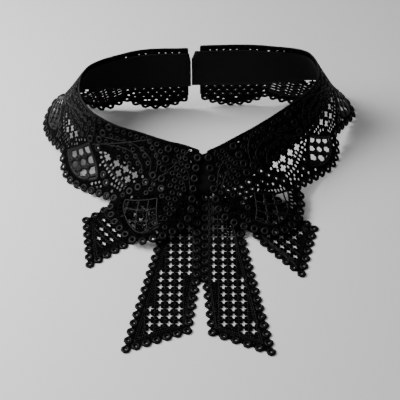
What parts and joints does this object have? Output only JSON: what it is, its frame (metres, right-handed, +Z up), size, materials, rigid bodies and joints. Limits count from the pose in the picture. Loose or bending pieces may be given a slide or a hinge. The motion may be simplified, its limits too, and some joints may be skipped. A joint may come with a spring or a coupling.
{
  "type": "false collar",
  "caption": "Detachable black lace collar that goes round the neck: scalloped halves with a plain neckband lining, a front placket and hanging net tails.",
  "frame": {"origin": "middle of the overall box, on the table under the collar", "axes": "+Z up; +Y from the hanging tails in front to the opening at the back of the neck; +X towards the wearer's left"},
  "size_m": [0.2326, 0.2476, 0.0654],
  "materials": {
    "black_lace": "satin thread",
    "black_lining": "matt plain weave"
  },
  "bodies": {
    "root": {"collar_lace_left": "black_lace", "collar_lace_right": "black_lace", "neckband_lining_left": "black_lining", "neckband_lining_right": "black_lining", "centre_front_placket": "black_lining", "long_tail_left": "black_lace", "long_tail_right": "black_lace", "short_tail_left": "black_lace", "short_tail_right": "black_lace"}
  },
  "joints": []
}
